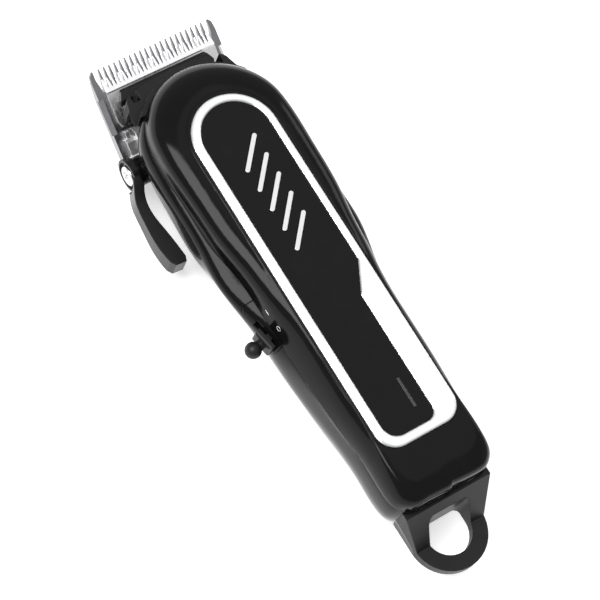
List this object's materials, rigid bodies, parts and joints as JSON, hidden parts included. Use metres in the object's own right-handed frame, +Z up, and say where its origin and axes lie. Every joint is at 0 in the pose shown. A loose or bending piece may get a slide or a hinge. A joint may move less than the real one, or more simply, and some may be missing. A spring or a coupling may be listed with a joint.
{
  "type": "cordless hair clipper",
  "caption": "Cordless hair clipper with toothed fixed blade and cutter, side taper lever, slide switch, bright trim ring and rear hanging loop",
  "frame": {"origin": "the middle of the flat rest face on the underside of the lower shell", "axes": "+Y runs along the body towards the blade tips, +Z points up out of the face with the trim ring, +X is to the right when the blade points away, so the taper lever and slide switch are on the -X side; metres"},
  "size_m": [0.0567, 0.1874, 0.0379],
  "materials": {
    "gloss_black": "high-gloss moulded ABS with soft edge wear",
    "polished_trim": "chrome-plated plastic trim",
    "inlay_black": "smooth semi-gloss panel",
    "satin_silver": "satin silver bars",
    "light_lens": "smoked light lens",
    "satin_black": "satin moulded plastic",
    "blade_steel": "ground and brushed blade steel",
    "cutter_steel": "bright ground blade steel",
    "cast_zinc": "tumbled zinc casting",
    "screw_steel": "bright plated steel",
    "lever_black": "semi-gloss moulded plastic",
    "motor_steel": "zinc-plated motor steel",
    "moulded_grey": "plain moulded plastic",
    "magnet_grey": "ferrite",
    "brass_tab": "stamped brass",
    "cell_wrap": "shrink-wrapped cell",
    "nickel_tab": "nickel strip",
    "board_green": "solder-masked circuit board",
    "knob_black": "finely textured moulded plastic"
  },
  "bodies": {
    "housing": {"upper_shell": "gloss_black", "lower_shell": "gloss_black", "trim_ring": "polished_trim", "inlay_panel": "inlay_black", "panel_inserts": "satin_silver", "light_pipe": "light_lens", "hang_loop": "satin_black", "front_chassis": "satin_black", "tension_spring": "screw_steel", "motor_can": "motor_steel", "motor_endcap": "moulded_grey", "motor_magnets": "magnet_grey", "motor_terminals": "brass_tab", "battery_cell": "cell_wrap", "battery_tabs": "nickel_tab", "circuit_board": "board_green", "indicator_led": "light_lens", "slide_switch": "moulded_grey", "charge_socket": "satin_black", "housing_screws": "screw_steel"},
    "cutter": {"moving_cutter": "cutter_steel", "cutter_follower": "satin_black"},
    "blade_set": {"fixed_blade": "blade_steel", "blade_bracket": "cast_zinc", "blade_screws": "screw_steel"},
    "lever": {"taper_lever": "lever_black", "lever_screw": "screw_steel", "lever_cam": "cast_zinc"},
    "rotor": {"motor_armature": "motor_steel", "motor_shaft": "screw_steel", "drive_crank": "moulded_grey"},
    "switch": {"switch_knob": "knob_black"}
  },
  "joints": [
    {"name": "motor_spin", "type": "hinge", "parent": "housing", "child": "rotor", "pos_m": [0, 0.0515, 0.0175], "axis": [0, 1, 0], "continuous": true},
    {"name": "cutter_oscillation", "type": "slide", "parent": "housing", "child": "cutter", "axis": [1, 0, 0], "range_m": [-0.0012, 0.0012]},
    {"name": "lever_pivot", "type": "hinge", "parent": "housing", "child": "lever", "pos_m": [-0.0247, 0.0673, 0.0123], "axis": [1, 0, 0], "range_deg": [-15, 15]},
    {"name": "blade_taper", "type": "slide", "parent": "housing", "child": "blade_set", "axis": [0, 0.8988, 0.4384], "range_m": [-0.00078, 0.00078]},
    {"name": "switch_slide", "type": "slide", "parent": "housing", "child": "switch", "axis": [-0.1771, 0.9842, 0], "range_m": [0, 0.0045]}
  ],
  "couplings": [
    {"joint": "lever_pivot", "follows": "blade_taper", "rad_per_m": 333.33}
  ]
}
